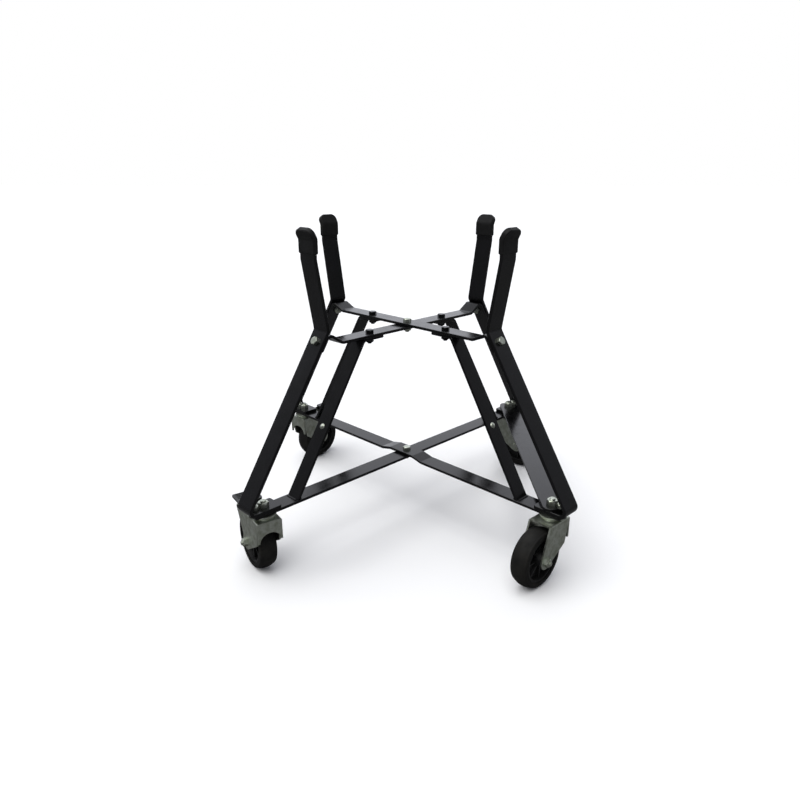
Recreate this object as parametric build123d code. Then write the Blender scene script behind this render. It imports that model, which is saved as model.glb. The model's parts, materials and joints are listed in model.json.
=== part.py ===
from build123d import *
from math import atan2, cos, pi, radians, sin, sqrt, tan
import os

# Rolling four-legged cradle stand. Millimetres, +Z up.
# Origin: on the floor, under the middle of the stand. The front faces -Y.

# ---- flat bar stock ----
leg_bar_width = 35.0
leg_bar_thickness = 6.0
brace_bar_width = 32.0
brace_bar_thickness = 5.0
strut_bar_width = 28.0
strut_bar_thickness = 5.0
bend_radius = 9.0
bar_corner_radius = 4.0
edge_break = 0.6

# ---- stand layout: radii are measured from the middle, in the diagonal planes ----
foot_radius = 326.0
heel_gap = 0.4
toe_reach = 24.0
knee_radius = 194.0
knee_height = 392.0
arm_radius = 214.0
arm_bend_height = 505.0
stand_height = 552.0
lip_reach = 7.0
lip_rise = 13.0
upper_brace_height = 369.0
brace_tab_length = 31.0
brace_ramp_start = 164.0
strut_top_radius = 115.0
strut_tab_length = 45.0
strut_bolt_radius = 92.0
strut_foot_radius = 266.0
strut_rivet_share = 0.56
weld_size = 4.0
brace_end_margin = 8.0
crossover_flat = 30.0
crossover_foot = 52.0
tab_setback = 3.0
knee_bolt_share = 0.56

# ---- rubber boots on the arm tips ----
boot_wall = 1.8
boot_depth = 38.0
boot_crown = 3.0
boot_corner_radius = 11.0
boot_hem = 1.4

# ---- side rail between the two right feet ----
rail_width = 38.0
rail_inset = 4.3
rail_thickness = 5.0
rail_overhang = 18.0
rail_corner_radius = 12.0

# ---- fasteners ----
bolt_diameter = 8.0
bolt_clearance = 0.4
bolt_stick_out = 2.5
bolt_thread_length = 8.0
rivet_diameter = 6.0
rivet_head_height = 2.6
rivet_tail_height = 2.0
thread_pitch = 1.25
foot_nut_gap = 2.1
foot_bolt_head = 2.0
thin_head = 0.72

# ---- casters ----
wheel_diameter = 100.0
wheel_width = 30.0
tyre_thickness = 12.0
tyre_crown = 3.0
caster_trail = 36.0
stem_diameter = 10.0
stem_clearance = 0.4
stem_running_gap = 0.08
race_diameter = 40.0
race_thickness = 2.5
ball_diameter = 4.2
ball_ring_radius = 11.6
ball_count = 14
plate_end_radius = 10.0
ball_gap = 0.15
fork_thickness = 3.0
fork_side_gap = 3.0
fork_crown_gap = 6.0
fork_nose = 22.0
fork_crown_setback = 6.0
fork_edge_radius = 2.6
skirt_depth = 36.0
skirt_arch = 16.0
cheek_shoulder = 44.0
cheek_sweep = 10.0
stem_head_height = 4.5
stem_head_gap = 0.4
race_lip_gap = 0.4
race_lip_wall = 2.2
axle_diameter = 8.0
axle_clearance = 0.08
axle_seat_clearance = 0.02
axle_boss_radius = 13.0
hub_radius = 13.0
hub_web = 9.0
hub_end_gap = 0.5
rim_wall = 4.0
rim_recess = 1.5
rim_draft = 1.0
rib_count = 8
rib_thickness = 2.6
rib_recess = 4.0
shoulder_radius = 3.0
pedal_pivot_reach = 27.0
pedal_pivot_drop = 5.0
pedal_pin_diameter = 5.0
pedal_pin_clearance = 0.08
pedal_length = 31.0
pedal_thickness = 2.5
shoe_length = 6.0
shoe_drop = 9.0
shoe_offset = 2.0
pedal_overlap = 6.0
pedal_corner_radius = 5.0
pedal_rib_count = 4
pedal_rib_pitch = 5.0
pedal_rib_width = 1.6
pedal_rib_height = 0.8
ear_thickness = 2.5
ear_gap = 0.4
ear_wall = 2.2
ear_rise = 1.2
ear_length = 16.0

# ---- the corners: azimuth, heading in which the caster trails, whether it has a brake ----
CORNERS = {
    "front_left": (225.0, 124.0, True),
    "front_right": (315.0, -136.5, False),
    "rear_left": (135.0, 51.0, True),
    "rear_right": (45.0, -38.0, False),
}

# ---- worked out from the values above ----
fork_top = wheel_diameter + fork_crown_gap + fork_thickness
foot_height = fork_top + ball_diameter + 2 * ball_gap + race_thickness
lower_brace_middle = foot_height + brace_bar_thickness / 2
lower_brace_top = foot_height + brace_bar_thickness
tab_middle = lower_brace_top + leg_bar_thickness / 2
tab_top = lower_brace_top + leg_bar_thickness
rail_top = tab_top + rail_thickness
foot_bolt_spacing = 0.8 * stem_diameter + foot_nut_gap + 0.8 * bolt_diameter
foot_bolt_radius = foot_radius + foot_bolt_spacing
heel_start = foot_bolt_radius + 0.8 * bolt_diameter + heel_gap
rough_lean = atan2(heel_start + 2 * bend_radius - knee_radius, knee_height - tab_middle)
heel_radius = heel_start + bend_radius * tan((pi / 2 + rough_lean) / 2)
foot_offset = foot_radius / sqrt(2)
foot_bolt_offset = foot_bolt_radius / sqrt(2)
rail_middle = (foot_offset + foot_bolt_offset) / 2 - rail_inset
leg_lean = atan2(heel_radius - knee_radius, knee_height - tab_middle)
nut_hole = bolt_diameter + bolt_clearance
stem_hole = stem_diameter + stem_clearance
curl_foot = stand_height - boot_crown - lip_rise


def hex_prism(across_flats, height):
    """A hexagon from z = 0 up, with the top corners taken off."""
    corner = across_flats / sqrt(3)
    prism = extrude(RegularPolygon(corner, 6), height)
    taper = extrude(Circle(corner), height)
    taper = chamfer(taper.edges().group_by(Axis.Z)[-1], 0.11 * across_flats)
    return prism & taper


def threaded_shaft(diameter, length, threaded):
    """A shaft from z = 0 up whose last stretch carries thread grooves."""
    radius = diameter / 2
    root = radius - 0.55 * thread_pitch
    grooves = max(1, int(threaded / thread_pitch))
    points = [(0, 0), (radius, 0)]
    for turn in range(grooves):
        start = length - (grooves - turn) * thread_pitch
        points.append((radius, start))
        points.append((root, start + 0.5 * thread_pitch))
    points.append((root, length))
    points.append((0, length))
    return revolve(Plane.XZ * make_face(Polyline(*points, close=True)), Axis.Z)


def hex_bolt(diameter, length, threaded):
    """A bolt with its head below z = 0 and its shaft along +Z."""
    head = Rot(180, 0, 0) * hex_prism(1.6 * diameter, 0.66 * diameter)
    return head + threaded_shaft(diameter, length, threaded)


def flat_bolt(diameter, length, threaded, head_height):
    """A bolt with a thin round head below z = 0 and its shaft along +Z."""
    head = Pos(0, 0, -head_height) * extrude(Circle(thin_head * diameter), head_height)
    head = chamfer(head.edges().group_by(Axis.Z)[0], head_height / 3)
    return head + threaded_shaft(diameter, length, threaded)


def hex_nut(diameter, across_flats):
    """A nut with its seat on z = 0, chamfered at both ends of its flats."""
    height = 0.8 * diameter
    block = hex_prism(across_flats, height)
    bore = extrude(Circle((diameter + bolt_clearance / 2) / 2), height)
    return block - bore


def bar_blank(points, width, thickness):
    """A square-cornered bar whose middle line runs through points of (radius, height)."""
    path = FilletPolyline(*points, radius=bend_radius) if len(points) > 2 else Line(*points)
    side = trace(path, line_width=thickness)
    return Rot(90, 0, 0) * extrude(side, width / 2, both=True)


def bent_bar(points, width, thickness):
    """A flat bar with rounded corners and, where its bends allow it, broken rims."""
    bar = bar_blank(points, width, thickness)
    short = bar.edges().filter_by(lambda edge: abs(edge.length - thickness) < 0.01)
    bar = fillet(short, min(bar_corner_radius, width / 3))
    rim = bar.edges().filter_by(
        lambda edge: abs(edge.length - thickness) > 0.01 and abs(edge.length - width) > 0.01
    )
    try:
        return chamfer(rim, edge_break)
    except ValueError:
        return bar


def upright_hole(radius, diameter, low, high):
    """A cutter for a vertical hole at this distance out from the middle."""
    return Pos(radius, 0, low) * extrude(Circle(diameter / 2), high - low)


def leg_normal_frame(radius, height):
    """A frame at a point in the leg's plane, with Z pointing inwards across the lower leg."""
    inwards = (-cos(leg_lean), 0, -sin(leg_lean))
    return Plane(origin=(radius, 0, height), x_dir=(0, 1, 0), z_dir=inwards).location


def at_corner(azimuth, shape):
    """Turn a piece drawn in the plane y = 0 to its corner."""
    return Rot(0, 0, azimuth) * shape


def lower_leg_point(height):
    """The radius of the lower leg's middle line at this height."""
    return heel_radius - (height - tab_middle) * sin(leg_lean) / cos(leg_lean)


# ---- frame pieces, drawn in the plane y = 0 with the radius along +X ----
knee_bolt_height = knee_height - knee_bolt_share * brace_tab_length
knee_bolt_radius = lower_leg_point(knee_bolt_height)


def leg():
    """One leg: foot tab, lean up to the knee, arm and curled tip."""
    bar = bent_bar(
        [
            (foot_radius - toe_reach, tab_middle),
            (heel_radius, tab_middle),
            (knee_radius, knee_height),
            (arm_radius, arm_bend_height),
            (arm_radius, curl_foot),
            (arm_radius + lip_reach, stand_height - boot_crown),
        ],
        leg_bar_width,
        leg_bar_thickness,
    )
    bar -= upright_hole(foot_radius, stem_hole, lower_brace_top, tab_top)
    bar -= upright_hole(foot_bolt_radius, nut_hole, lower_brace_top, tab_top)
    hole = extrude(Circle(nut_hole / 2), leg_bar_thickness, both=True)
    return bar - leg_normal_frame(knee_bolt_radius, knee_bolt_height) * hole


def tip_boot(finished_leg):
    """A rubber boot pulled over the curled tip of a leg."""
    curl = atan2(lip_reach, lip_rise)
    crown = (arm_radius + lip_reach + boot_crown * sin(curl), stand_height + boot_crown * (cos(curl) - 1))
    points = [(arm_radius, stand_height - boot_depth), (arm_radius, curl_foot), crown]
    thickness = leg_bar_thickness + 2 * boot_wall
    boot = bar_blank(points, leg_bar_width + 2 * boot_wall, thickness)
    short = boot.edges().filter_by(lambda edge: abs(edge.length - thickness) < 0.01)
    boot = fillet(short.group_by(Axis.Z)[-1], boot_corner_radius)
    top = boot.faces().sort_by(lambda face: face.normal_at().Z)[-1]
    boot = chamfer(top.edges(), boot_hem)
    boot = chamfer(boot.faces().sort_by(Axis.Z)[0].edges(), boot_hem)
    return boot - finished_leg


def brace_tab_points(level):
    """Half of an upper brace: flat, ramp to the knee, tab down the leg's inner face."""
    offset = (leg_bar_thickness + brace_bar_thickness) / 2
    start = (
        knee_radius - offset * cos(leg_lean) + tab_setback * sin(leg_lean),
        knee_height - offset * sin(leg_lean) - tab_setback * cos(leg_lean),
    )
    end = (
        start[0] + brace_tab_length * sin(leg_lean),
        start[1] - brace_tab_length * cos(leg_lean),
    )
    return [(brace_ramp_start, level), start, end]


def upper_brace(level):
    """A brace between two opposite knees, with both ends turned down."""
    half = brace_tab_points(level)
    other = [(-radius, height) for radius, height in reversed(half)]
    bar = bent_bar(other + half, brace_bar_width, brace_bar_thickness)
    for radius in (-strut_bolt_radius, 0, strut_bolt_radius):
        bar -= upright_hole(radius, nut_hole, level - brace_bar_thickness, level + brace_bar_thickness)
    hole = extrude(Circle(nut_hole / 2), 4 * brace_bar_thickness)
    tab_hole = leg_normal_frame(knee_bolt_radius, knee_bolt_height) * hole
    for turn in (0, 180):
        bar -= Rot(0, 0, turn) * tab_hole
    return bar


def lower_brace(crossover):
    """A brace between two opposite feet; crossover lifts its middle over the other one."""
    end = foot_bolt_radius + brace_end_margin
    half = [(end, lower_brace_middle)]
    if crossover:
        raised = (crossover_flat, lower_brace_middle + brace_bar_thickness)
        half = [raised, (crossover_foot, lower_brace_middle)] + half
    other = [(-radius, height) for radius, height in reversed(half)]
    bar = bent_bar(other + half, brace_bar_width, brace_bar_thickness)
    high = lower_brace_top + brace_bar_thickness
    bar -= upright_hole(0, nut_hole, foot_height, high)
    for side in (-1, 1):
        bar -= upright_hole(side * foot_radius, stem_hole, foot_height, high)
        bar -= upright_hole(side * foot_bolt_radius, nut_hole, foot_height, high)
    return bar


def strut_lean(level):
    """The strut's lean from upright when its tab lies at this level."""
    return atan2(strut_foot_radius - strut_top_radius, level - lower_brace_top)


def strut(level):
    """A strut from the lower brace up to a tab bolted under the upper brace."""
    lean = strut_lean(level)
    below = strut_bar_width
    bar = bent_bar(
        [
            (strut_top_radius - strut_tab_length, level),
            (strut_top_radius, level),
            (strut_foot_radius + below * sin(lean), lower_brace_top - below * cos(lean)),
        ],
        strut_bar_width,
        strut_bar_thickness,
    )
    bar -= Pos(strut_foot_radius, 0, lower_brace_top - 2 * below) * Box(4 * below, 4 * below, 4 * below)
    bar -= upright_hole(strut_bolt_radius, nut_hole, level - strut_bar_thickness, level + strut_bar_thickness)
    hole = extrude(Circle(rivet_diameter / 2), strut_bar_thickness, both=True)
    return bar - strut_rivet_frame(level) * hole


def strut_rivet_frame(level):
    """The frame of a strut's rivet, with Z pointing inwards across the strut."""
    lean = strut_lean(level)
    height = level + strut_rivet_share * (lower_brace_top - level)
    radius = strut_top_radius + strut_rivet_share * (strut_foot_radius - strut_top_radius)
    inwards = (-cos(lean), 0, -sin(lean))
    return Plane(origin=(radius, 0, height), x_dir=(0, 1, 0), z_dir=inwards).location


def strut_rivet(level):
    """A domed rivet through the strut."""
    seat = strut_bar_thickness / 2
    dome = Pos(0, 0, -seat) * Rot(180, 0, 0) * dome_head(0.85 * rivet_diameter, rivet_head_height)
    tail = Pos(0, 0, seat) * dome_head(0.75 * rivet_diameter, rivet_tail_height)
    shank = Pos(0, 0, -seat) * extrude(Circle(rivet_diameter / 2), 2 * seat)
    return strut_rivet_frame(level) * (dome + shank + tail)


def dome_head(radius, height):
    """A shallow dome standing on z = 0."""
    sphere_radius = (radius**2 + height**2) / (2 * height)
    ball = Pos(0, 0, height - sphere_radius) * Sphere(sphere_radius)
    return ball & extrude(Circle(2 * radius), height)


def strut_welds(level):
    """The two weld beads at a strut's foot, outside and inside."""
    lean = strut_lean(level)
    half = strut_bar_thickness / 2 / cos(lean)
    beads = []
    for side in (1, -1):
        root = strut_foot_radius + side * half
        rise = weld_size * (1 + 0.4 * side)
        triangle = Polyline(
            (root, lower_brace_top),
            (root + side * weld_size, lower_brace_top),
            (root - rise * sin(lean) / cos(lean), lower_brace_top + rise),
            close=True,
        )
        bead = extrude(make_face(triangle), strut_bar_width / 2 - 1.0, both=True)
        beads.append(Rot(90, 0, 0) * bead)
    return beads


def side_rail():
    """A flat rail lying on the foot tabs of the two right legs."""
    length = 2 * (foot_offset + rail_overhang)
    bar = extrude(RectangleRounded(rail_width, length, rail_corner_radius), rail_thickness)
    rims = bar.edges().group_by(Axis.Z)
    bar = Pos(rail_middle, 0, tab_top) * chamfer(rims[0] + rims[-1], edge_break)
    for azimuth in (45, 315):
        bar -= at_corner(azimuth, upright_hole(foot_radius, stem_hole, tab_top, rail_top))
        bar -= at_corner(azimuth, upright_hole(foot_bolt_radius, nut_hole, tab_top, rail_top))
    return bar


# ---- fasteners of the frame, placed on the corner's plane ----
def seat_height(azimuth):
    """The top of the clamped stack at this foot."""
    if cos(radians(azimuth)) > 0:
        return rail_top
    return tab_top


def knee_bolt():
    """A bolt through a leg and the brace's tab."""
    grip = leg_bar_thickness + brace_bar_thickness
    bolt = hex_bolt(bolt_diameter, grip + 0.8 * bolt_diameter + bolt_stick_out, bolt_thread_length)
    frame = leg_normal_frame(knee_bolt_radius, knee_bolt_height)
    return frame * Pos(0, 0, -leg_bar_thickness / 2) * bolt


def knee_nut():
    """The nut on a knee bolt, inside the brace's tab."""
    frame = leg_normal_frame(knee_bolt_radius, knee_bolt_height)
    depth = leg_bar_thickness / 2 + brace_bar_thickness
    return frame * Pos(0, 0, depth) * hex_nut(bolt_diameter, 1.6 * bolt_diameter)


def hanging_bolt(radius, top, grip):
    """A bolt pushed down from this level."""
    bolt = hex_bolt(bolt_diameter, grip + 0.8 * bolt_diameter + bolt_stick_out, bolt_thread_length)
    return Pos(radius, 0, top) * Rot(180, 0, 0) * bolt


def hanging_nut(radius, bottom):
    """A nut screwed up against this level."""
    return Pos(radius, 0, bottom) * Rot(180, 0, 0) * hex_nut(bolt_diameter, 1.6 * bolt_diameter)


def foot_bolt(azimuth):
    """The second bolt of a foot, its thin head sunk into the caster's top plate."""
    bottom = foot_height - race_thickness + foot_bolt_head
    length = seat_height(azimuth) - bottom + 0.8 * bolt_diameter + bolt_stick_out
    bolt = flat_bolt(bolt_diameter, length, bolt_thread_length, foot_bolt_head)
    return Pos(foot_bolt_radius, 0, bottom) * bolt


def foot_nut(azimuth):
    """The nut on top of a foot bolt."""
    seat = seat_height(azimuth)
    return Pos(foot_bolt_radius, 0, seat) * Rot(0, 0, 30) * hex_nut(bolt_diameter, 1.6 * bolt_diameter)


def caster_stem(azimuth):
    """The caster's fixed stem: head under the fork, shaft up through the foot."""
    bottom = fork_top - fork_thickness - stem_head_gap
    length = seat_height(azimuth) - bottom + 0.8 * stem_diameter + bolt_stick_out
    threaded = 0.8 * stem_diameter + 2 * bolt_stick_out
    return Pos(foot_radius, 0, bottom) * flat_bolt(stem_diameter, length, threaded, stem_head_height)


def stem_nut(azimuth):
    """The nut on top of a caster stem."""
    seat = seat_height(azimuth)
    return Pos(foot_radius, 0, seat) * Rot(0, 0, 30) * hex_nut(stem_diameter, 1.6 * stem_diameter)


def caster_plate():
    """The caster's fixed top plate, with the upper ball race pressed into it."""
    outline = SlotCenterToCenter(foot_bolt_spacing, 2 * plate_end_radius)
    plate = Pos(foot_bolt_spacing / 2, 0, 0) * extrude(outline, race_thickness)
    plate += extrude(Circle(race_diameter / 2), race_thickness)
    plate -= extrude(Circle(stem_hole / 2), race_thickness)
    plate -= Pos(foot_bolt_spacing, 0, 0) * extrude(Circle(nut_hole / 2), race_thickness)
    recess = extrude(Circle(thin_head * bolt_diameter + bolt_clearance / 2), foot_bolt_head)
    plate -= Pos(foot_bolt_spacing, 0, 0) * recess
    return Pos(foot_radius, 0, foot_height - race_thickness) * plate


# ---- casters, drawn with the swivel axis on Z and the wheel trailing along +X ----
wheel_radius = wheel_diameter / 2
cheek_inside = wheel_width / 2 + fork_side_gap
cheek_outside = cheek_inside + fork_thickness
pivot_x = caster_trail + pedal_pivot_reach
pivot_z = fork_top - pedal_pivot_drop


def placed_caster(corner, shape):
    """Turn a caster piece to its heading and move it under its foot."""
    azimuth, heading, _ = CORNERS[corner]
    x = foot_radius * cos(radians(azimuth))
    y = foot_radius * sin(radians(azimuth))
    return Pos(x, y, 0) * Rot(0, 0, heading) * shape


def cross_hole(x, z, diameter):
    """A cutter across both cheeks."""
    return Pos(x, 0, z) * Rot(90, 0, 0) * extrude(Circle(diameter / 2), 2 * cheek_outside, both=True)


def cheek(braked):
    """One side of the fork, as a flat plate standing on y = 0."""
    rear = caster_trail - fork_crown_setback
    crown_line = Line((-fork_nose, fork_top), (rear, fork_top))
    shoulder = fork_top - cheek_shoulder
    nose_line = Line((-fork_nose, fork_top), (cheek_sweep - fork_nose, shoulder))
    boss = Circle(axle_boss_radius).moved(Pos(caster_trail, wheel_radius))
    plate = make_hull([crown_line, nose_line, *boss.edges()])
    if braked:
        wall = pedal_pivot_drop + ear_rise / 2
        boss = axle_boss_radius / 2
        ear = [
            *Circle(wall).moved(Pos(pivot_x, fork_top - wall)).edges(),
            *Circle(wall).moved(Pos(rear - wall, fork_top - wall)).edges(),
            *Circle(boss).moved(Pos(caster_trail, wheel_radius + boss)).edges(),
        ]
        plate = plate + make_hull(ear)
    return Rot(90, 0, 0) * extrude(plate, fork_thickness)


def fork_skirt():
    """The web that closes the fork's nose, arched over the wheel."""
    low = fork_top - skirt_depth
    plate = Pos(0, fork_top - skirt_depth / 2) * Rectangle(2 * cheek_outside, skirt_depth)
    arch = Pos(0, low) * Ellipse(cheek_inside, skirt_arch)
    return Pos(-fork_nose, 0, 0) * extrude(Plane.YZ * (plate - arch), fork_thickness)


def fork(braked):
    """The swivelling fork: crown, skirt, two cheeks and the rim of the lower ball race."""
    rear = caster_trail - fork_crown_setback
    crown = Pos((rear - fork_nose) / 2, 0, fork_top - fork_thickness) * extrude(
        Rectangle(rear + fork_nose, 2 * cheek_outside), fork_thickness
    )
    body = crown + fork_skirt()
    body += Pos(0, cheek_outside, 0) * cheek(braked) + Pos(0, -cheek_inside, 0) * cheek(braked)
    envelope_height = 2 * fork_top
    section = Plane.YZ * RectangleRounded(2 * cheek_outside, envelope_height, fork_edge_radius)
    envelope = extrude(section, 2 * wheel_diameter, both=True)
    body = body & Pos(0, 0, fork_top - envelope_height / 2) * envelope
    lip_inside = ball_ring_radius + ball_diameter / 2 + race_lip_gap
    lip = Circle(lip_inside + race_lip_wall) - Circle(lip_inside)
    body += Pos(0, 0, fork_top) * extrude(lip, ball_diameter / 2)
    body -= Pos(0, 0, fork_top - fork_thickness) * extrude(
        Circle(stem_diameter / 2 + stem_running_gap), fork_thickness
    )
    body -= cross_hole(caster_trail, wheel_radius, axle_diameter + axle_seat_clearance)
    if braked:
        body -= cross_hole(pivot_x, pivot_z, pedal_pin_diameter + 2 * pedal_pin_clearance)
    return body


def bearing_balls():
    """The ring of balls between the fork and the fixed top plate."""
    height = fork_top + ball_gap + ball_diameter / 2
    return [
        Rot(0, 0, 360 / ball_count * index) * Pos(ball_ring_radius, 0, height) * Sphere(ball_diameter / 2)
        for index in range(ball_count)
    ]


def axle_bolt():
    """The axle: a bolt across both cheeks."""
    length = 2 * cheek_outside + 0.8 * axle_diameter + bolt_stick_out
    bolt = hex_bolt(axle_diameter, length, bolt_thread_length)
    return Pos(caster_trail, -cheek_outside, wheel_radius) * Rot(-90, 0, 0) * bolt


def axle_nut():
    """The nut on the axle."""
    nut = hex_nut(axle_diameter, 1.6 * axle_diameter)
    return Pos(caster_trail, cheek_outside, wheel_radius) * Rot(-90, 0, 0) * nut


def wheel_core():
    """The moulded wheel centre: hub, web and rim."""
    rim_radius = wheel_radius - tyre_thickness
    rim_inner = rim_radius - rim_wall
    half = wheel_width / 2 - rim_recess
    hub_half = cheek_inside - hub_end_gap
    bore = axle_diameter / 2 + axle_clearance
    profile = Polyline(
        (bore, -hub_half),
        (hub_radius - rim_draft, -hub_half),
        (hub_radius, -hub_web / 2),
        (rim_inner - rim_draft, -hub_web / 2),
        (rim_inner, -half),
        (rim_radius, -half),
        (rim_radius, half),
        (rim_inner, half),
        (rim_inner - rim_draft, hub_web / 2),
        (hub_radius, hub_web / 2),
        (hub_radius - rim_draft, hub_half),
        (bore, hub_half),
        close=True,
    )
    core = revolve(Plane.XZ * make_face(profile), Axis.Z)
    rib_length = rim_radius - rim_wall / 2 - hub_radius + rim_draft
    rib = Box(rib_length, rib_thickness, 2 * (half - rib_recess))
    rib = Pos(hub_radius - rim_draft + rib_length / 2, 0, 0) * rib
    for index in range(rib_count):
        core += Rot(0, 0, 360 / rib_count * index) * rib
    return Pos(caster_trail, 0, wheel_radius) * Rot(90, 0, 0) * core


def tyre():
    """The soft tread, crowned across its width."""
    inner = wheel_radius - tyre_thickness
    half = wheel_width / 2
    shoulder = wheel_radius - tyre_crown
    side = shoulder - shoulder_radius
    edge = half - shoulder_radius
    corner = shoulder_radius / sqrt(2)
    outline = [
        Line((inner, -half), (side, -half)),
        ThreePointArc((side, -half), (side + corner, -edge - corner), (shoulder, -edge)),
        ThreePointArc((shoulder, -edge), (wheel_radius, 0), (shoulder, edge)),
        ThreePointArc((shoulder, edge), (side + corner, edge + corner), (side, half)),
        Line((side, half), (inner, half)),
        Line((inner, half), (inner, -half)),
    ]
    ring = revolve(Plane.XZ * make_face(outline), Axis.Z)
    return Pos(caster_trail, 0, wheel_radius) * Rot(90, 0, 0) * ring


def brake_pedal():
    """The foot pedal: tread plate, two ears, pivot pin and brake shoe."""
    ear_outside = cheek_inside - ear_gap
    plate_bottom = pivot_z + pedal_pivot_drop + ear_rise
    ear_outline = [
        *Circle(pedal_pin_diameter / 2 + ear_wall).moved(Pos(pivot_x, pivot_z)).edges(),
        *Rectangle(ear_length, 1.0).moved(Pos(pivot_x + pedal_overlap, plate_bottom + 0.5)).edges(),
    ]
    ear = Rot(90, 0, 0) * extrude(make_hull(ear_outline), ear_thickness)
    tread = RectangleRounded(pedal_length + pedal_overlap, 2 * cheek_outside, pedal_corner_radius)
    plate = extrude(tread, pedal_thickness)
    plate = Pos(pivot_x + (pedal_length - pedal_overlap) / 2 - 2.0, 0, plate_bottom) * plate
    pedal = plate + Pos(0, ear_outside, 0) * ear + Pos(0, ear_thickness - ear_outside, 0) * ear
    rib = Box(pedal_rib_width, 2 * (cheek_outside - pedal_overlap), 2 * pedal_rib_height)
    for index in range(1, pedal_rib_count + 1):
        reach = pivot_x + pedal_length - pedal_rib_pitch * index
        pedal += Pos(reach, 0, plate_bottom + pedal_thickness) * rib
    pin = extrude(Circle(pedal_pin_diameter / 2), cheek_outside + 1.0, both=True)
    shoe_height = plate_bottom - pivot_z + shoe_drop
    shoe = Box(shoe_length, 2 * ear_outside - 1.0, shoe_height)
    shoe = Pos(pivot_x + shoe_offset + shoe_length / 2, 0, plate_bottom - shoe_height / 2) * shoe
    return pedal + Pos(pivot_x, 0, pivot_z) * Rot(90, 0, 0) * pin + shoe


# ---- write every piece ----
def save(name, pieces):
    """Write one node, as one solid or as a group of separate solids."""
    solids = []
    for piece in pieces if isinstance(pieces, list) else [pieces]:
        solids.extend(piece.solids())
    shape = solids[0] if len(solids) == 1 else Compound(children=solids)
    export_step(shape, f"parts/{name}.step")


def main():
    """Build and write the stand."""
    os.makedirs("parts", exist_ok=True)
    azimuths = [azimuth for azimuth, _, _ in CORNERS.values()]
    plain_leg = leg()
    boot = tip_boot(plain_leg)
    brace_levels = {225.0: upper_brace_height, 315.0: upper_brace_height + brace_bar_thickness}
    strut_levels = {
        azimuth: brace_levels[azimuth if azimuth in brace_levels else azimuth + 180.0] - brace_bar_thickness
        for azimuth in azimuths
    }
    for corner, (azimuth, _, _) in CORNERS.items():
        save(f"leg_{corner}", at_corner(azimuth, plain_leg))
        save(f"tip_boot_{corner}", at_corner(azimuth, boot))
        save(f"strut_{corner}", at_corner(azimuth, strut(strut_levels[azimuth])))
    for name, azimuth, crossover in (("lower", 225.0, False), ("upper", 315.0, True)):
        save(f"knee_brace_{name}", at_corner(azimuth, upper_brace(brace_levels[azimuth])))
        save(f"foot_brace_{name}", at_corner(azimuth, lower_brace(crossover)))
    save("side_rail", side_rail())

    save("knee_bolts", [at_corner(azimuth, knee_bolt()) for azimuth in azimuths])
    save("knee_nuts", [at_corner(azimuth, knee_nut()) for azimuth in azimuths])
    half = brace_bar_thickness / 2
    grip = brace_bar_thickness + strut_bar_thickness / 2 + half
    strut_bolts = []
    strut_nuts = []
    for azimuth in azimuths:
        top = strut_levels[azimuth] + brace_bar_thickness + half
        bottom = strut_levels[azimuth] - strut_bar_thickness / 2
        strut_bolts.append(at_corner(azimuth, hanging_bolt(strut_bolt_radius, top, grip)))
        strut_nuts.append(at_corner(azimuth, hanging_nut(strut_bolt_radius, bottom)))
    save("strut_bolts", strut_bolts)
    save("strut_nuts", strut_nuts)
    low_pairs = (upper_brace_height - half, foot_height)
    tops = [bottom + 2 * brace_bar_thickness for bottom in low_pairs]
    save("crossing_bolts", [hanging_bolt(0, top, 2 * brace_bar_thickness) for top in tops])
    save("crossing_nuts", [hanging_nut(0, bottom) for bottom in low_pairs])
    save("foot_bolts", [at_corner(azimuth, foot_bolt(azimuth)) for azimuth in azimuths])
    save("foot_nuts", [at_corner(azimuth, foot_nut(azimuth)) for azimuth in azimuths])
    save("caster_stems", [at_corner(azimuth, caster_stem(azimuth)) for azimuth in azimuths])
    save("stem_nuts", [at_corner(azimuth, stem_nut(azimuth)) for azimuth in azimuths])
    save("caster_top_plates", [at_corner(azimuth, caster_plate()) for azimuth in azimuths])
    save("strut_rivets", [at_corner(azimuth, strut_rivet(strut_levels[azimuth])) for azimuth in azimuths])
    welds = []
    for azimuth in azimuths:
        welds.extend(at_corner(azimuth, bead) for bead in strut_welds(strut_levels[azimuth]))
    save("strut_welds", welds)

    for corner, (_, _, braked) in CORNERS.items():
        save(f"fork_{corner}", placed_caster(corner, fork(braked)))
        save(f"swivel_balls_{corner}", [placed_caster(corner, ball) for ball in bearing_balls()])
        save(f"axle_bolt_{corner}", placed_caster(corner, axle_bolt()))
        save(f"axle_nut_{corner}", placed_caster(corner, axle_nut()))
        save(f"wheel_core_{corner}", placed_caster(corner, wheel_core()))
        save(f"tyre_{corner}", placed_caster(corner, tyre()))
        if braked:
            save(f"brake_pedal_{corner}", placed_caster(corner, brake_pedal()))


main()
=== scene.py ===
"""Looks of a rolling cradle stand: paint, plating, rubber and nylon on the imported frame."""

import json
import logging
import math
from dataclasses import dataclass, field
from enum import Enum
from typing import Any

import bmesh
import bpy
from mathutils import Matrix, Vector

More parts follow.
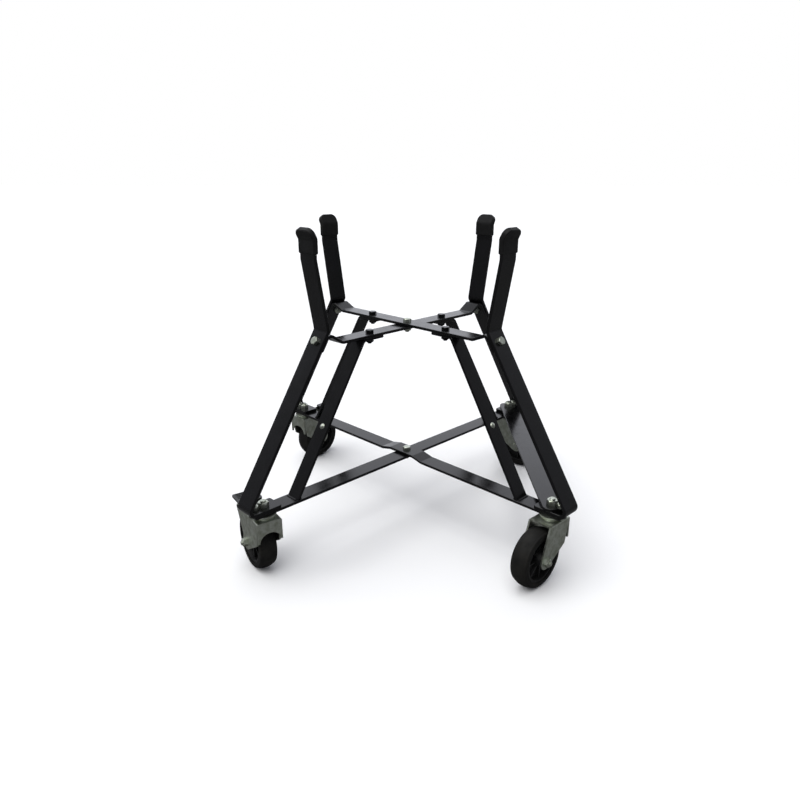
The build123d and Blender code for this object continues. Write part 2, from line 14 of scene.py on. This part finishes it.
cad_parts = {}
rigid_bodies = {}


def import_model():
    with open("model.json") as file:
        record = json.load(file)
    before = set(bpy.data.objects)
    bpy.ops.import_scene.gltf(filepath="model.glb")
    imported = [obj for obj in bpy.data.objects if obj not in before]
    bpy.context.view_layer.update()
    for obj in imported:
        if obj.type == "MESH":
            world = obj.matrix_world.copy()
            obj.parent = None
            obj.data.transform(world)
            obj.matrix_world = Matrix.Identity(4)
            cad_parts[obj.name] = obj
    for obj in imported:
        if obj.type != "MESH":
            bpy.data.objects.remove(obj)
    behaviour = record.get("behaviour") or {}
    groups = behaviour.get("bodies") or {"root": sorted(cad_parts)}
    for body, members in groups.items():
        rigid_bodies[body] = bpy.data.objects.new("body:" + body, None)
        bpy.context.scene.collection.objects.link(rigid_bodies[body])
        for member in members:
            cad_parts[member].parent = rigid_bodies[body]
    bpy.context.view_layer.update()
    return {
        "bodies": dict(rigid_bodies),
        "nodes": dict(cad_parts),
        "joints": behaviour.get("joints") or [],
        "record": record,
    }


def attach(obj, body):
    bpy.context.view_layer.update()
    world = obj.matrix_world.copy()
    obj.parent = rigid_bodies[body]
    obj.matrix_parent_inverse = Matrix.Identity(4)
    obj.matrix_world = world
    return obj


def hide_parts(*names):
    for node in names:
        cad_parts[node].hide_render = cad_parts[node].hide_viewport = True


LOG = logging.getLogger("stand")
MM = 0.001

# Noise behind the soft patches of colour and gloss: its number of octaves, the weight of
# each finer octave, and the part of its range that is stretched over the whole change.
PATCH_DETAIL = 4.0
PATCH_ROUGHNESS = 0.6
PATCH_RANGE = (0.35, 0.65)
DRIFT_DETAIL = 6.0
DRIFT_RANGE = (0.3, 0.7)
# Gloss changes over shorter distances than colour does.
DRIFT_SHARE = 0.6
GRAIN_DETAIL = 2.0


class Corner(Enum):
    """The four corners of the stand, with the direction of each from the middle in degrees."""

    FRONT_LEFT = 225.0
    FRONT_RIGHT = 315.0
    REAR_LEFT = 135.0
    REAR_RIGHT = 45.0


def linear(hex_code: str) -> tuple[float, float, float, float]:
    """Turn an sRGB hex colour into linear light by the standard's own curve.

    Args:
        hex_code: Six hex digits, with or without a leading hash.

    Returns:
        Red, green, blue and an alpha of one.
    """
    digits = hex_code.lstrip("#")
    channels = []
    for start in (0, 2, 4):
        value = int(digits[start : start + 2], 16) / 255
        channels.append(value / 12.92 if value <= 0.04045 else ((value + 0.055) / 1.055) ** 2.4)
    return (channels[0], channels[1], channels[2], 1.0)


def per_metre(size_mm: float) -> float:
    """Give the texture scale whose features are this many millimetres across."""
    return 1.0 / (size_mm * MM)


def add_node(
    tree: bpy.types.NodeTree,
    kind: str,
    settings: dict[Any, Any] | None = None,
    links: dict[Any, bpy.types.NodeSocket] | None = None,
) -> bpy.types.Node:
    """Add one shader node with its settings and incoming links.

    Args:
        tree: The node tree that takes the node.
        kind: Blender's identifier of the node.
        settings: Input names or indices, or node attributes, and their values.
        links: Input names or indices and the sockets that feed them.

    Returns:
        The new node.
    """
    node = tree.nodes.new(kind)
    for key, value in (settings or {}).items():
        if isinstance(key, str) and hasattr(node, key):
            setattr(node, key, value)
        else:
            node.inputs[key].default_value = value
    for key, socket in (links or {}).items():
        tree.links.new(socket, node.inputs[key])
    return node


@dataclass(frozen=True)
class Finish:
    """One surface finish whose colour, gloss and relief vary over real distances.

    The three patterns are solid textures in the frame's own metres, so they
    stay on the metal or rubber in every view and every pose. Grain finer than
    about half a millimetre wouldn't show in the render, so mould grain,
    plating crystals and lapping marks are drawn coarser than real ones.
    """

    name: str
    colour: str
    drift_colour: str
    metallic: float
    roughness: float
    roughness_drift: float
    specular: float
    patch_mm: float
    grain_mm: float
    relief_mm: float
    relief_strength: float

    def colour_socket(
        self, tree: bpy.types.NodeTree, place: bpy.types.NodeSocket
    ) -> bpy.types.NodeSocket:
        """Mix the two colours in soft patches.

        Args:
            tree: The material's node tree.
            place: The object coordinates.

        Returns:
            The mixed colour.
        """
        patches = add_node(
            tree,
            "ShaderNodeTexNoise",
            {
                "Scale": per_metre(self.patch_mm),
                "Detail": PATCH_DETAIL,
                "Roughness": PATCH_ROUGHNESS,
            },
            {"Vector": place},
        )
        ramp = add_node(
            tree,
            "ShaderNodeMapRange",
            {"From Min": PATCH_RANGE[0], "From Max": PATCH_RANGE[1]},
            {"Value": patches.outputs["Fac"]},
        )
        mix = add_node(
            tree,
            "ShaderNodeMix",
            {"data_type": "RGBA", 6: linear(self.colour), 7: linear(self.drift_colour)},
            {0: ramp.outputs["Result"]},
        )
        return mix.outputs[2]

    def roughness_socket(
        self, tree: bpy.types.NodeTree, place: bpy.types.NodeSocket
    ) -> bpy.types.NodeSocket:
        """Let the gloss drift around its typical value.

        Args:
            tree: The material's node tree.
            place: The object coordinates.

        Returns:
            The roughness.
        """
        drift = add_node(
            tree,
            "ShaderNodeTexNoise",
            {"Scale": per_metre(DRIFT_SHARE * self.patch_mm), "Detail": DRIFT_DETAIL},
            {"Vector": place},
        )
        spread = add_node(
            tree,
            "ShaderNodeMapRange",
            {
                "From Min": DRIFT_RANGE[0],
                "From Max": DRIFT_RANGE[1],
                "To Min": self.roughness - self.roughness_drift,
                "To Max": self.roughness + self.roughness_drift,
            },
            {"Value": drift.outputs["Fac"]},
        )
        return spread.outputs["Result"]

    def height_socket(
        self, tree: bpy.types.NodeTree, place: bpy.types.NodeSocket
    ) -> bpy.types.NodeSocket:
        """Give the height of the surface's fine relief.

        Args:
            tree: The material's node tree.
            place: The object coordinates.

        Returns:
            The height.
        """
        grain = add_node(
            tree,
            "ShaderNodeTexNoise",
            {"Scale": per_metre(self.grain_mm), "Detail": GRAIN_DETAIL},
            {"Vector": place},
        )
        return grain.outputs["Fac"]

    def build(self) -> bpy.types.Material:
        """Make the material.

        Returns:
            A node-based material with this finish.
        """
        material = bpy.data.materials.new(self.name)
        material.use_nodes = True
        tree = material.node_tree
        tree.nodes.clear()
        place = add_node(tree, "ShaderNodeTexCoord").outputs["Object"]
        bump = add_node(
            tree,
            "ShaderNodeBump",
            {"Strength": self.relief_strength, "Distance": self.relief_mm * MM},
            {"Height": self.height_socket(tree, place)},
        )
        surface = add_node(
            tree,
            "ShaderNodeBsdfPrincipled",
            {
                "Metallic": self.metallic,
                "Specular IOR Level": self.specular,
            },
            {
                "Base Color": self.colour_socket(tree, place),
                "Roughness": self.roughness_socket(tree, place),
                "Normal": bump.outputs["Normal"],
            },
        )
        add_node(tree, "ShaderNodeOutputMaterial", None, {"Surface": surface.outputs["BSDF"]})
        return material


@dataclass(frozen=True)
class CastFinish(Finish):
    """A finish with a second, cellular relief, such as plating crystals or mould grain."""

    cell_mm: float = 1.0
    cell_share: float = 0.5

    def height_socket(
        self, tree: bpy.types.NodeTree, place: bpy.types.NodeSocket
    ) -> bpy.types.NodeSocket:
        """Blend the fine grain with cells.

        Args:
            tree: The material's node tree.
            place: The object coordinates.

        Returns:
            The height.
        """
        grain = super().height_socket(tree, place)
        cells = add_node(
            tree,
            "ShaderNodeTexVoronoi",
            {"Scale": per_metre(self.cell_mm)},
            {"Vector": place},
        )
        mix = add_node(
            tree,
            "ShaderNodeMix",
            {"data_type": "FLOAT", 0: self.cell_share},
            {2: grain, 3: cells.outputs["Distance"]},
        )
        return mix.outputs[0]


# Gloss black powder coat, sprayed dry and baked: a faint orange peel breaks up its reflections.
# Its specular level is under the typical one, to keep its faces black over a pale floor.
POWDER_COAT = Finish(
    name="gloss_black_powder_coat",
    colour="#050505",
    drift_colour="#08080a",
    metallic=0.0,
    roughness=0.2,
    roughness_drift=0.05,
    specular=0.3,
    patch_mm=38.0,
    grain_mm=2.2,
    relief_mm=0.05,
    relief_strength=0.35,
)

# Soft rubber, moulded in a blasted tool: dull, with wide highlights.
BOOT_RUBBER = CastFinish(
    name="moulded_boot_rubber",
    colour="#0c0c0c",
    drift_colour="#131313",
    metallic=0.0,
    roughness=0.58,
    roughness_drift=0.07,
    specular=0.18,
    patch_mm=16.0,
    grain_mm=0.7,
    relief_mm=0.08,
    relief_strength=0.5,
    cell_mm=0.9,
    cell_share=0.4,
)

# Bright zinc plate with a clear chromate, barrel plated: cool grey with a faint green-yellow cast.
ZINC_PLATE = CastFinish(
    name="chromated_zinc_plate",
    colour="#c9cec4",
    drift_colour="#a6ab9b",
    metallic=1.0,
    roughness=0.38,
    roughness_drift=0.07,
    specular=0.5,
    patch_mm=9.0,
    grain_mm=0.8,
    relief_mm=0.03,
    relief_strength=0.4,
    cell_mm=1.6,
    cell_share=0.5,
)

# Through-hardened bearing steel, ground and lapped: small, sharp highlights.
BEARING_STEEL = Finish(
    name="lapped_bearing_steel",
    colour="#d6d8da",
    drift_colour="#c4c7ca",
    metallic=1.0,
    roughness=0.12,
    roughness_drift=0.03,
    specular=0.5,
    patch_mm=3.0,
    grain_mm=0.6,
    relief_mm=0.01,
    relief_strength=0.1,
)

# Glass-filled nylon, injection moulded: satin with a slight bloom.
WHEEL_NYLON = CastFinish(
    name="moulded_wheel_nylon",
    colour="#0d0d0d",
    drift_colour="#151515",
    metallic=0.0,
    roughness=0.45,
    roughness_drift=0.08,
    specular=0.45,
    patch_mm=14.0,
    grain_mm=0.9,
    relief_mm=0.05,
    relief_strength=0.35,
    cell_mm=1.2,
    cell_share=0.35,
)

# Elastic tread rubber, moulded on: matt, a little dusty where it has rolled.
TREAD_RUBBER = CastFinish(
    name="moulded_tread_rubber",
    colour="#0b0b0a",
    drift_colour="#171613",
    metallic=0.0,
    roughness=0.66,
    roughness_drift=0.08,
    specular=0.2,
    patch_mm=22.0,
    grain_mm=1.1,
    relief_mm=0.12,
    relief_strength=0.5,
    cell_mm=1.5,
    cell_share=0.3,
)

# Electro-dipped black coat on a pressed steel pedal: thin, satin, rubbed by shoes.
PEDAL_COAT = Finish(
    name="dipped_pedal_coat",
    colour="#0b0c0b",
    drift_colour="#161714",
    metallic=0.0,
    roughness=0.4,
    roughness_drift=0.1,
    specular=0.4,
    patch_mm=10.0,
    grain_mm=1.4,
    relief_mm=0.05,
    relief_strength=0.4,
)

FINISHES: dict[str, Finish] = {
    "gloss_black_paint": POWDER_COAT,
    "black_rubber": BOOT_RUBBER,
    "zinc_plate": ZINC_PLATE,
    "bearing_steel": BEARING_STEEL,
    "black_nylon": WHEEL_NYLON,
    "tread_rubber": TREAD_RUBBER,
    "black_steel_pedal": PEDAL_COAT,
}


@dataclass
class Dresser:
    """Gives every carried-over frame node the finish of its material slot."""

    frame: dict[str, Any]
    materials: dict[str, bpy.types.Material] = field(default_factory=dict)

    def material(self, slot: str) -> bpy.types.Material:
        """Build a slot's material once and hand it out afterwards.

        Args:
            slot: The record's material slot.

        Returns:
            The material.
        """
        if slot not in self.materials:
            self.materials[slot] = FINISHES[slot].build()
        return self.materials[slot]

    def dress(self) -> None:
        """Assign the finishes to all nodes."""
        for entry in self.frame["record"]["subparts"]:
            node = self.frame["nodes"][entry["node"]]
            node.data.materials.clear()
            node.data.materials.append(self.material(entry["material_slot"]))
            LOG.info("dressed %s as %s", entry["node"], entry["material_slot"])


@dataclass
class WeldBead:
    """One weld bead: overlapping ripples laid along a joint.

    A ripple is a flattened ball. Its reach along the bead is a multiple of the
    pitch, so neighbours overlap, and its crown is a share of the throat.
    """

    start: Vector
    end: Vector
    throat: float
    ripple_pitch: float = 2.2 * MM
    ripple_reach: float = 1.15
    crown: float = 0.8
    fewest_ripples: int = 3
    segments: int = 14
    rings: int = 8

    def add_to(self, mesh: bmesh.types.BMesh) -> None:
        """Add the ripples to a mesh.

        Args:
            mesh: The mesh being built.
        """
        run = self.end - self.start
        count = max(self.fewest_ripples, round(run.length / self.ripple_pitch))
        heading = run.to_track_quat("X", "Z").to_matrix().to_4x4()
        for index in range(count):
            middle = self.start + run * ((index + 0.5) / count)
            size = Matrix.Diagonal(
                (self.ripple_reach * self.ripple_pitch, self.throat, self.crown * self.throat, 1.0)
            )
            place = Matrix.Translation(middle) @ heading @ size
            bmesh.ops.create_uvsphere(
                mesh, u_segments=self.segments, v_segments=self.rings, radius=1.0, matrix=place
            )


@dataclass
class StrutWelds:
    """The weld beads at the strut feet, in place of the frame's plain ones.

    Each bead follows a plain one: it stops an end margin short of its ends and
    runs a lift above its foot. A corner's points are those whose direction has
    at least the corner cosine with the corner's own, and the points of a foot
    lie in a thin layer above the lowest.
    """

    frame: dict[str, Any]
    dresser: Dresser
    end_margin: float = 1.6 * MM
    lift: float = 0.4 * MM
    foot_layer: float = 0.1 * MM
    corner_cosine: float = 0.6

    def corner_points(self, corner: Corner) -> list[Vector]:
        """Give the plain beads' points at one corner, turned so that the corner lies along +X.

        Args:
            corner: The corner of the stand.

        Returns:
            The turned points.
        """
        turn = Matrix.Rotation(-math.radians(corner.value), 4, "Z")
        middle = Vector((1.0, 0.0, 0.0))
        points = [turn @ vertex.co for vertex in self.frame["nodes"]["strut_welds"].data.vertices]
        return [
            point
            for point in points
            if point.x > 0 and point.normalized().dot(middle) > self.corner_cosine
        ]

    def bead(self, corner: Corner, outer: bool) -> WeldBead:
        """Lay one bead through the middle of a plain one.

        Args:
            corner: The corner of the strut.
            outer: Whether the bead is on the strut's outer face.

        Returns:
            The bead.
        """
        points = self.corner_points(corner)
        lowest = min(point.z for point in points)
        feet = [point for point in points if point.z < lowest + self.foot_layer]
        split = (min(p.x for p in feet) + max(p.x for p in feet)) / 2
        side = [point for point in feet if (point.x > split) == outer]
        radius = (min(p.x for p in side) + max(p.x for p in side)) / 2
        throat = (max(p.x for p in side) - min(p.x for p in side)) / 2
        reach = max(p.y for p in side) - self.end_margin
        turn = Matrix.Rotation(math.radians(corner.value), 4, "Z")
        height = lowest + self.lift
        start = turn @ Vector((radius, -reach, height))
        end = turn @ Vector((radius, reach, height))
        return WeldBead(start, end, throat)

    def build(self) -> None:
        """Build the beads as one piece and put them in the frame's place."""
        mesh = bmesh.new()
        for corner in Corner:
            for outer in (False, True):
                self.bead(corner, outer).add_to(mesh)
        data = bpy.data.meshes.new("weld_ripples")
        mesh.to_mesh(data)
        mesh.free()
        data.shade_smooth()
        data.materials.append(self.dresser.material("gloss_black_paint"))
        piece = bpy.data.objects.new("weld_ripples", data)
        bpy.context.scene.collection.objects.link(piece)
        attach(piece, "frame")
        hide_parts("strut_welds")
        LOG.info("laid %s", piece.name)


@dataclass
class Studio:
    """A pale floor that meets a pale backdrop without a seam, soft light and the camera.

    The glow rises from its front value to its back value between two values
    of a direction's Y part. Angles are in degrees and the lens in millimetres.
    """

    floor_size: float = 60.0
    floor_colour: str = "#f2f2f2"
    mirrored_floor: str = "#6e6e6e"
    backdrop_colour: str = "#ffffff"
    backdrop_seen: float = 1.0
    glow_colour: str = "#f5f7ff"
    back_glow: float = 1.3
    front_glow: float = 0.26
    glow_from: float = 0.0
    glow_to: float = 0.9
    lamp_power: float = 2.7
    lamp_spread: float = 70.0
    lamp_direction: tuple[float, float, float] = (-0.35, -0.25, 1.0)
    camera_place: tuple[float, float, float] = (-8.0 * MM, -1157.5 * MM, 632.0 * MM)
    camera_pitch: float = 19.33
    camera_yaw: float = 0.25
    lens: float = 29.35

    def floor(self) -> None:
        """Lay the floor, which is dimmer in the reflections on glossy surfaces."""
        half = self.floor_size / 2
        mesh = bpy.data.meshes.new("floor")
        corners = [(-half, -half, 0), (half, -half, 0), (half, half, 0), (-half, half, 0)]
        mesh.from_pydata(corners, [], [(0, 1, 2, 3)])
        material = bpy.data.materials.new("matt_floor")
        material.use_nodes = True
        tree = material.node_tree
        tree.nodes.clear()
        seen = add_node(tree, "ShaderNodeBsdfDiffuse", {"Color": linear(self.floor_colour)})
        mirrored = add_node(tree, "ShaderNodeBsdfDiffuse", {"Color": linear(self.mirrored_floor)})
        glossy = add_node(tree, "ShaderNodeLightPath").outputs["Is Glossy Ray"]
        surface = add_node(
            tree,
            "ShaderNodeMixShader",
            None,
            {0: glossy, 1: seen.outputs["BSDF"], 2: mirrored.outputs["BSDF"]},
        )
        add_node(tree, "ShaderNodeOutputMaterial", None, {"Surface": surface.outputs["Shader"]})
        mesh.materials.append(material)
        floor = bpy.data.objects.new("floor", mesh)
        bpy.context.scene.collection.objects.link(floor)

    def sky(self) -> None:
        """Surround the scene with a lit backdrop behind the stand and a dimmer room in front.

        The camera sees the backdrop's colour in every direction. Surfaces are
        lit by a glow that falls off from the backdrop towards the front.
        """
        world = bpy.data.worlds.new("studio")
        world.use_nodes = True
        tree = world.node_tree
        tree.nodes.clear()
        aim = add_node(tree, "ShaderNodeTexCoord").outputs["Generated"]
        axes = add_node(tree, "ShaderNodeSeparateXYZ", None, {"Vector": aim})
        fall_off = add_node(
            tree,
            "ShaderNodeMapRange",
            {
                "interpolation_type": "SMOOTHSTEP",
                "From Min": self.glow_from,
                "From Max": self.glow_to,
                "To Min": self.front_glow,
                "To Max": self.back_glow,
            },
            {"Value": axes.outputs["Y"]},
        )
        glow = add_node(
            tree,
            "ShaderNodeBackground",
            {"Color": linear(self.glow_colour)},
            {"Strength": fall_off.outputs["Result"]},
        )
        seen = add_node(
            tree,
            "ShaderNodeBackground",
            {"Color": linear(self.backdrop_colour), "Strength": self.backdrop_seen},
        )
        to_camera = add_node(tree, "ShaderNodeLightPath").outputs["Is Camera Ray"]
        mix = add_node(
            tree,
            "ShaderNodeMixShader",
            None,
            {0: to_camera, 1: glow.outputs["Background"], 2: seen.outputs["Background"]},
        )
        add_node(tree, "ShaderNodeOutputWorld", None, {"Surface": mix.outputs["Shader"]})
        bpy.context.scene.world = world

    def lamp(self) -> None:
        """Hang one wide, even lamp over the stand, a little to the left and in front of it."""
        light = bpy.data.lights.new("overhead", "SUN")
        light.energy = self.lamp_power
        light.angle = math.radians(self.lamp_spread)
        lamp = bpy.data.objects.new("overhead", light)
        lamp.rotation_euler = Vector(self.lamp_direction).to_track_quat("Z", "Y").to_euler()
        bpy.context.scene.collection.objects.link(lamp)

    def camera(self) -> None:
        """Set the camera at the viewing angle."""
        data = bpy.data.cameras.new("camera")
        data.lens = self.lens
        camera = bpy.data.objects.new("camera", data)
        camera.location = self.camera_place
        camera.rotation_euler = (math.radians(90 - self.camera_pitch), 0, math.radians(self.camera_yaw))
        bpy.context.scene.collection.objects.link(camera)
        bpy.context.scene.camera = camera

    def build(self) -> None:
        """Set up the whole studio."""
        bpy.context.scene.view_settings.view_transform = "Standard"
        self.floor()
        self.sky()
        self.lamp()
        self.camera()
        LOG.info("studio ready")


def main() -> None:
    """Dress the frame, add the pieces of the looks and set up the studio."""
    logging.basicConfig(level=logging.INFO)
    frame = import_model()
    dresser = Dresser(frame)
    dresser.dress()
    StrutWelds(frame, dresser).build()
    Studio().build()


if __name__ == "__main__":
    main()
